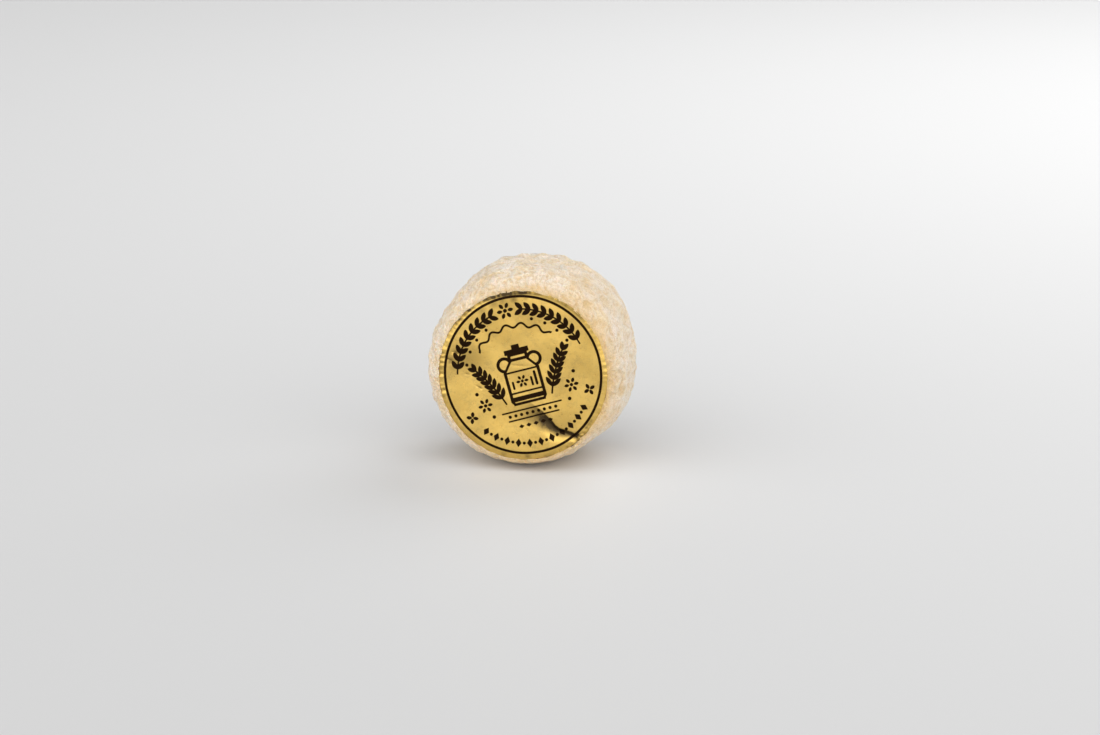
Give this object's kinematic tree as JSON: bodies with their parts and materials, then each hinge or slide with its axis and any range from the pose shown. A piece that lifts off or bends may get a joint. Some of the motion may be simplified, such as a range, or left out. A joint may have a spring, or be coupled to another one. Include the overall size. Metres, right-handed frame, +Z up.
{
  "type": "ripened goat cheese",
  "caption": "Small drum-shaped ripened goat cheese with a wrinkled creamy rind, standing on its rounded side, with a round gold foil label set into its front face.",
  "frame": {"origin": "middle of the base: x and y at the middle of the whole cheese, z at the surface that it stands on", "axes": "+Z up, +Y along the drum's axis from the labelled front face to the back face, +X to the right as seen from the front"},
  "size_m": [0.061, 0.0372, 0.0599],
  "materials": {
    "rind": "matt creamy rind with fine wrinkles",
    "foil": "satin gold foil with black print"
  },
  "bodies": {
    "root": {"cheese": "rind", "label": "foil"}
  },
  "joints": []
}
